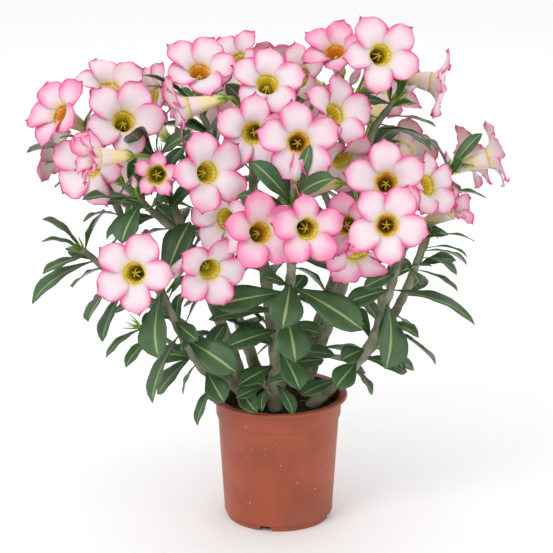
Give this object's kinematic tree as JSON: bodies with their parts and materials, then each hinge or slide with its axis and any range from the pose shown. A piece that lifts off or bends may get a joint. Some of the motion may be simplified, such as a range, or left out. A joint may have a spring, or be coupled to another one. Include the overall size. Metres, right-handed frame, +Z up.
{
  "type": "potted desert rose adenium",
  "caption": "Desert rose plant with leafy branches and pink-edged white trumpet flowers, growing in soil in a round tapered plastic pot.",
  "frame": {"origin": "centre of the flat underside of the pot, where it stands", "axes": "+Z up along the pot's axis, -Y towards the side with most flowers, +X to the right of it"},
  "size_m": [0.4633, 0.3156, 0.5175],
  "materials": {
    "pot_plastic": "soft terracotta-coloured nursery pot plastic, slightly dusty",
    "soil": "dark fibrous potting soil",
    "leafy_branch": "glossy dark green leaves on grey-green bark",
    "petal": "soft white petals with pink margins"
  },
  "bodies": {
    "root": {"pot": "pot_plastic", "soil": "soil", "branch_left_front": "leafy_branch", "branch_left": "leafy_branch", "branch_far_left": "leafy_branch", "branch_front": "leafy_branch", "branch_centre": "leafy_branch", "branch_upper_right": "leafy_branch", "branch_right_front": "leafy_branch", "branch_right": "leafy_branch", "branch_back_left": "leafy_branch", "branch_back_right": "leafy_branch", "flower_01": "petal", "flower_02": "petal", "flower_03": "petal", "flower_04": "petal", "flower_05": "petal", "flower_06": "petal", "flower_07": "petal", "flower_08": "petal", "flower_09": "petal", "flower_10": "petal", "flower_11": "petal", "flower_12": "petal", "flower_13": "petal", "flower_14": "petal", "flower_15": "petal", "flower_16": "petal", "flower_17": "petal", "flower_18": "petal", "flower_19": "petal", "flower_20": "petal", "flower_21": "petal", "flower_22": "petal", "flower_23": "petal", "flower_24": "petal", "flower_25": "petal", "flower_26": "petal", "flower_27": "petal", "flower_28": "petal", "flower_29": "petal", "flower_30": "petal", "flower_31": "petal", "flower_32": "petal", "flower_33": "petal", "flower_34": "petal", "flower_35": "petal", "flower_36": "petal", "flower_37": "petal", "flower_38": "petal", "flower_39": "petal", "flower_40": "petal", "flower_41": "petal", "flower_42": "petal", "flower_43": "petal", "flower_44": "petal", "flower_45": "petal", "flower_46": "petal"}
  },
  "joints": []
}
